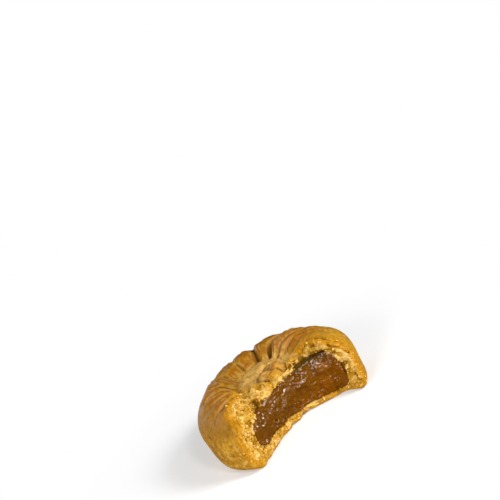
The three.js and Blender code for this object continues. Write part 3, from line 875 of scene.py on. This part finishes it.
def shared_effect(name, inputs, output):
    """A node group with named sockets, the sockets on its inside, a piece's own space, and 1 / Size."""
    tree = bpy.data.node_groups.new(name, "ShaderNodeTree")
    for label, value in inputs.items():
        socket(tree, label, "Float").default_value = value
    socket(tree, output, "Float", "OUTPUT")
    given, result = add(tree, "NodeGroupInput").outputs, add(tree, "NodeGroupOutput").inputs[output]
    place = add(tree, "ShaderNodeTexCoord").outputs["Object"]
    return tree, given, result, place, calculated(tree, "DIVIDE", 1.0, given["Size"])


def placed(tree, effect, **values):
    """Puts a shared effect in a material with its own values, and returns what it gives."""
    return add(tree, "ShaderNodeGroup", values, node_tree=effect).outputs[0]


def ranged(tree, value, low, high, to_low=0.0, to_high=1.0):
    """A value taken from one range to another, eased at both ends and held there."""
    values = {"Value": value, "From Min": low, "From Max": high, "To Min": to_low, "To Max": to_high}
    return add(tree, "ShaderNodeMapRange", values, interpolation_type="SMOOTHSTEP").outputs["Result"]


def blended(tree, share, first, second):
    """Two colours mixed by a share."""
    return add(tree, "ShaderNodeMix", {0: share, 6: first, 7: second}, data_type="RGBA").outputs[2]


def tinted(tree, base, colour, *shares):
    """A colour with another over it, as strong as the product of the shares."""
    return blended(tree, times(tree, *shares), base, colour)


def blotches_effect():
    """Soft uneven blotches, Size metres across."""
    inputs = {"Size": 0.005, "Seed": 0.0, "Low": 0.4, "High": 0.6}
    tree, given, result, place, scale = shared_effect("blotches", inputs, "Mask")
    cloud = {"Vector": place, "W": given["Seed"], "Scale": scale, "Detail": 4.0, "Roughness": 0.6}
    value = add(tree, "ShaderNodeTexNoise", cloud, noise_dimensions="4D").outputs[0]
    tree.links.new(ranged(tree, value, given["Low"], given["High"]), result)
    return tree


def flecks_effect():
    """Scattered specks with ragged edges: Size is the space between them, Share how large they are."""
    tree, given, result, place, scale = shared_effect("flecks", {"Size": 0.002, "Share": 0.3}, "Mask")
    ragged = add(tree, "ShaderNodeTexNoise", {"Vector": place, "Scale": times(tree, scale, 2.5)})
    shift = astray(tree, ragged.outputs["Color"], times(tree, given["Size"], 0.9))
    moved = add(tree, "ShaderNodeVectorMath", {0: place, 1: shift}, operation="ADD").outputs[0]
    cells = add(tree, "ShaderNodeTexVoronoi", {"Vector": moved, "Scale": scale}).outputs
    chance = add(tree, "ShaderNodeSeparateColor", {0: cells["Color"]}).outputs[0]
    edge = calculated(tree, "SUBTRACT", times(tree, chance, given["Share"]), cells["Distance"])
    tree.links.new(ranged(tree, edge, -0.04, 0.08), result)
    return tree


def crumbs_effect():
    """The height of a crumbly surface with grains Size metres across."""
    tree, given, result, place, scale = shared_effect("crumbly", {"Size": 0.0008, "Ragged": 0.5}, "Height")
    cells = add(tree, "ShaderNodeTexVoronoi", {"Vector": place, "Scale": scale, "Detail": 1.0})
    cloud = {"Vector": place, "Scale": times(tree, scale, 2.0), "Detail": 3.0, "Roughness": 0.65}
    fine = times(tree, add(tree, "ShaderNodeTexNoise", cloud).outputs[0], given["Ragged"])
    rounds = calculated(tree, "SUBTRACT", 1.0, cells.outputs["Distance"])
    tree.links.new(calculated(tree, "ADD", rounds, fine), result)
    return tree


def attribute(tree, name):
    return add(tree, "ShaderNodeAttribute", attribute_name=name).outputs["Fac"]


def bump(tree, shader, layers):
    """Bump of several heights, each with how strong and how deep in millimetres it is."""
    normal = None
    for height, strength, depth in layers:
        values = {"Height": height, "Strength": strength, "Distance": depth * MM}
        if normal is not None:
            values["Normal"] = normal
        normal = add(tree, "ShaderNodeBump", values).outputs[0]
    tree.links.new(normal, shader.inputs["Normal"])


def soft_inside(tree, shader, weight, reach):
    """Lets some light through, as far as `reach` millimetres in red, green and blue."""
    fill(tree, shader, {"Subsurface Weight": weight, "Subsurface Radius": reach, "Subsurface Scale": MM})


def crust_material(blotches, flecks, crumbly):
    made, tree, shader = material("baked dough")
    names = ("crumb", "proud", "torn", "raised", "veined", "browned")
    crumb, proud, torn, raised, veined, browned = (attribute(tree, name) for name in names)

    skin = blended(tree, placed(tree, blotches, Size=0.009, Seed=1.0), OCHRE, GOLDEN)
    for size, seed, strength, colour in SPOTS:
        spots = placed(tree, blotches, Size=size, Seed=seed, Low=0.5, High=0.6)
        skin = tinted(tree, skin, colour, spots, strength)
    patches = placed(tree, blotches, Size=0.0019, Seed=16.0, Low=0.44, High=0.56)
    layers = (
        (OLIVE, browned, 0.7),
        (BAKED, browned, ranged(tree, raised, 0.36, 0.6, 0.3, 1.0), patches),
        (BEIGE, ranged(tree, raised, 0.12, 0.3), ranged(tree, raised, 0.6, 0.45), browned, 0.2),
        # Painted shade: darker in the valleys between the fine lines of the petals.
        (GROOVE_SHADE, ranged(tree, veined, 0.5, 0.3), browned, 0.85),
        # Painted highlight: a pinkish sheen on the ridges between the fine lines.
        (PINKISH, ranged(tree, veined, 0.5, 0.7), browned, 0.65),
        (PINKISH, attribute(tree, "bleached")),
        (BAKED, attribute(tree, "scorched")),
        # Painted shade: darker wherever the moulded top lies low, as in the grooves.
        (GROOVE_SHADE, ranged(tree, raised, 0.3, 0.05), 0.8),
        (BASIN, attribute(tree, "basin"), 0.8),
        (BAKED, attribute(tree, "domed"), ranged(tree, patches, 0.0, 1.0, 0.15, 0.8)),
    )
    for colour, *shares in layers:
        skin = tinted(tree, skin, colour, *shares)
    for size, share, strength in SPECKS:
        skin = tinted(tree, skin, FLECK, placed(tree, flecks, Size=size, Share=share), strength)
    edge = blended(tree, placed(tree, blotches, Size=0.0028, Seed=2.0), ORANGE, GOLDEN)
    skin = tinted(tree, skin, edge, torn, 0.7)

    pale = placed(tree, blotches, Size=0.0009, Seed=5.0, Low=0.34, High=0.54)
    pitted = placed(tree, blotches, Size=0.0009, Seed=4.0, Low=0.43, High=0.57)
    # Deeper ochre in the pits that the bump dents: partly the crumb's tone, partly painted shade.
    inner = tinted(tree, CRUMB, CRUMB_PIT_SHADE, pitted, 0.8)
    # Cream on the raised grains: partly paler crumb, partly a painted highlight.
    inner = tinted(tree, inner, CREAM, ranged(tree, proud, 0.42, 0.6), pale)
    inner = tinted(tree, inner, ORANGE, attribute(tree, "toasted"), 0.85)
    # Painted shade over the pores' own ochre: this colour goes where the crumb's relief lies low, darker
    # where it is coarse or in a hollow.
    pore_shade = blended(tree, attribute(tree, "coarse"), PALE_PORE_SHADE, PORE_SHADE)
    inner = tinted(tree, inner, pore_shade, ranged(tree, proud, 0.43, 0.2))

    dents = placed(tree, blotches, Size=0.0022, Seed=14.0, Low=0.25, High=0.75)
    fine = placed(tree, blotches, Size=0.0007, Seed=6.0, Low=0.3, High=0.7)
    broken = calculated(tree, "MAXIMUM", crumb, times(tree, torn, 0.7))
    pits = times(tree, calculated(tree, "SUBTRACT", 1.0, pitted), broken)
    grain = times(tree, placed(tree, crumbly, Size=0.0006, Ragged=0.9), broken)
    bump(tree, shader, [(dents, 0.7, 0.28), (fine, 0.45, 0.1), (pits, 0.8, 0.3), (grain, 0.7, 0.14)])
    colour = blended(tree, crumb, skin, inner)
    roughness = ranged(tree, crumb, 0.0, 1.0, 0.5, 0.85)
    fill(tree, shader, {"Base Color": colour, "Roughness": roughness, "Specular IOR Level": 0.06})
    soft_inside(tree, shader, 0.12, (1.2, 0.6, 0.2))
    return made


def grain_material(blotches, crumbly):
    made, tree, shader = material("loose crumb")
    colour = blended(tree, placed(tree, blotches, Size=0.0016, Seed=12.0), CRUMB, CREAM)
    fill(tree, shader, {"Base Color": colour, "Roughness": 0.85, "Specular IOR Level": 0.06})
    bump(tree, shader, [(placed(tree, crumbly, Size=0.0004, Ragged=0.9), 0.6, 0.08)])
    return made


def paste_material(blotches, crumbly):
    made, tree, shader = material("date paste")
    amber_glow = attribute(tree, "amber_glow")
    patches = placed(tree, blotches, Size=0.004, Seed=8.0)
    share = ranged(tree, calculated(tree, "ADD", amber_glow, times(tree, patches, 0.6)), 0.4, 1.3)
    colour = blended(tree, share, DATE_DARK, DATE_AMBER_GLOW)
    bits = placed(tree, blotches, Size=0.0013, Seed=9.0, Low=0.56, High=0.68)
    colour = tinted(tree, colour, DATE_PINK, bits, 0.4)
    colour = tinted(tree, colour, DATE_SHADE, attribute(tree, "shaded"))
    gloss = placed(tree, blotches, Size=0.005, Seed=10.0, Low=0.42, High=0.6)
    roughness = ranged(tree, gloss, 0.0, 1.0, 0.2, 0.09)
    shine = ranged(tree, amber_glow, 0.0, 1.0, 0.5, 0.34)
    fill(tree, shader, {"Base Color": colour, "Roughness": roughness, "Specular IOR Level": shine})
    soft_inside(tree, shader, 0.2, (2.0, 0.6, 0.1))
    lumps = placed(tree, crumbly, Size=0.0013, Ragged=0.2)
    lumps = times(tree, lumps, ranged(tree, gloss, 0.0, 1.0, 0.25, 1.0))
    fine = placed(tree, blotches, Size=0.0012, Seed=11.0, Low=0.3, High=0.7)
    fine = times(tree, fine, ranged(tree, gloss, 0.0, 1.0, 0.4, 1.0))
    bump(tree, shader, [(lumps, 0.8, 0.28), (fine, 0.5, 0.12)])
    return made


# ---- The setting ----
CAMERA_AZIMUTH = -14.3  # degrees round the cookie from looking along +Y
CAMERA_ELEVATION = 22.3
CAMERA_ROLL = 30.5  # the cookie's axis leans so far to the left in the picture
CAMERA_DISTANCE = 229.7
LENS = 50.7  # for a sensor 36 mm wide
CLIP_START, CLIP_END = 0.01, 20.0  # in metres
PICTURE = 500  # pixels along each side
COOKIE_IN_PICTURE = (277.0, 389.3)  # where its middle falls, from the picture's upper left corner
WHITE = (1, 1, 1, 1)
WORLD_LIGHT = 0.15
WORLD_GLOSS = 0.03  # as weak as this in a glossy surface, so that its highlights stay small
LAMP_DISTANCE = 450
# The lamps: azimuth and elevation round the cookie, size, power in watts, colour.
LAMPS = {
    "key": (45, 33, 120, 1.9, (1, 1, 1)),
    "fill": (-50, 20, 200, 1.6, (1, 1, 1)),
    "sheen": (-140, 45, 220, 0.14, (0.95, 0.96, 1.0)),
    "glints": (10, 36, 60, 0.5, (1, 1, 1)),
    "behind": (195, 8, 240, 0.8, (1, 1, 1)),
}
FLOOR_RADIUS = 8000
FLOOR_CORNERS = 96
FLOOR_COLOUR = (0.93, 0.93, 0.93, 1)
FLOOR_FADES = (30, 95)  # from a lit floor to plain white
FLOOR_GLOW = 0.25  # the share of plain white under the cookie


def aim_from(azimuth, elevation):
    """The direction from the cookie towards a place round it, both angles in degrees."""
    turn, rise = math.radians(azimuth), math.radians(elevation)
    return Vector((math.sin(turn) * math.cos(rise), -math.cos(turn) * math.cos(rise), math.sin(rise)))


def make_camera():
    camera = new_object("camera", bpy.data.cameras.new("camera"))
    bpy.context.scene.camera = camera
    camera.data.lens = LENS
    camera.data.clip_start, camera.data.clip_end = CLIP_START, CLIP_END
    back = aim_from(CAMERA_AZIMUTH, CAMERA_ELEVATION)
    level = Vector((-back.y, back.x, 0)).normalized()
    upright = back.cross(level)
    roll = math.radians(CAMERA_ROLL)
    right = math.cos(roll) * level - math.sin(roll) * upright
    facing = Matrix((right, back.cross(right), back)).transposed()
    focal = LENS / camera.data.sensor_width * PICTURE
    across, down = (place - PICTURE / 2 for place in COOKIE_IN_PICTURE)
    to_cookie = Vector((across, -down, -focal)).normalized()
    off_centre = to_cookie.rotation_difference(Vector((0, 0, -1))).to_matrix()
    place = Vector((0, 0, HEIGHT / 2)) + back * CAMERA_DISTANCE
    camera.matrix_world = Matrix.Translation(place * MM) @ (facing @ off_centre).to_4x4()


def lamp(name, azimuth, elevation, size, power, colour):
    """A square soft light that looks at the cookie."""
    light = new_object(name, bpy.data.lights.new(name, "AREA"))
    light.data.size = size * MM
    light.data.energy = power
    light.data.color = colour
    direction = aim_from(azimuth, elevation)
    light.location = direction * LAMP_DISTANCE * MM
    light.rotation_mode = "QUATERNION"
    light.rotation_quaternion = direction.to_track_quat("Z", "Y")


def mixed_value(tree, share, first, second):
    return add(tree, "ShaderNodeMix", {0: share, 2: first, 3: second}).outputs[0]


def make_world():
    """White where it is seen, and a dimmer soft light from all round."""
    world = bpy.data.worlds.new("studio")
    bpy.context.scene.world = world
    world.use_nodes = True
    tree = world.node_tree
    tree.nodes.clear()
    path = add(tree, "ShaderNodeLightPath").outputs
    lit = mixed_value(tree, path["Is Glossy Ray"], WORLD_LIGHT, WORLD_GLOSS)
    strength = mixed_value(tree, path["Is Camera Ray"], lit, 1.0)
    white = add(tree, "ShaderNodeBackground", {"Color": WHITE, "Strength": strength})
    add(tree, "ShaderNodeOutputWorld", {"Surface": white.outputs[0]})


def make_floor():
    """A pale floor that turns as white as the world far from the cookie."""
    bpy.ops.mesh.primitive_circle_add(vertices=FLOOR_CORNERS, radius=FLOOR_RADIUS * MM, fill_type="NGON")
    floor = bpy.context.object
    floor.name = "floor"
    made, tree, shader = material("pale floor")
    fill(tree, shader, {"Base Color": FLOOR_COLOUR, "Roughness": 0.9})
    place = add(tree, "ShaderNodeTexCoord").outputs["Object"]
    far = add(tree, "ShaderNodeVectorMath", {0: place}, operation="LENGTH").outputs["Value"]
    share = ranged(tree, far, FLOOR_FADES[0] * MM, FLOOR_FADES[1] * MM, FLOOR_GLOW, 1.0)
    path = add(tree, "ShaderNodeLightPath").outputs
    strength = mixed_value(tree, path["Is Camera Ray"], WORLD_LIGHT, 1.0)
    glow = add(tree, "ShaderNodeEmission", {"Color": WHITE, "Strength": strength}).outputs[0]
    seen = add(tree, "ShaderNodeMixShader", {0: share, 1: shader.outputs[0], 2: glow}).outputs[0]
    dark = add(tree, "ShaderNodeEmission", {"Color": WHITE, "Strength": WORLD_GLOSS}).outputs[0]
    shown = add(tree, "ShaderNodeMixShader", {0: path["Is Glossy Ray"], 1: seen, 2: dark}).outputs[0]
    output = next(node for node in tree.nodes if node.type == "OUTPUT_MATERIAL")
    fill(tree, output, {"Surface": shown})
    floor.data.materials.append(made)


blotches, flecks, crumbly = blotches_effect(), flecks_effect(), crumbs_effect()

crust = make_crust()
crust.data.materials.append(crust_material(blotches, flecks, crumbly))
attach(crust, "root")
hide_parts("crust")

scatter, grain_look = crumb_scatter("crumbs"), grain_material(blotches, crumbly)
for name, values in CRUMBS.items():
    crumbs = make_crumbs(name, crust, scatter, grain_look, **values)
    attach(crumbs, "root")

filling = make_filling()
filling.data.materials.append(paste_material(blotches, crumbly))
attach(filling, "root")
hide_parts("date_filling")

bpy.context.scene.view_settings.view_transform = "Standard"
make_world()
make_floor()
for name, values in LAMPS.items():
    lamp(name, *values)
make_camera()
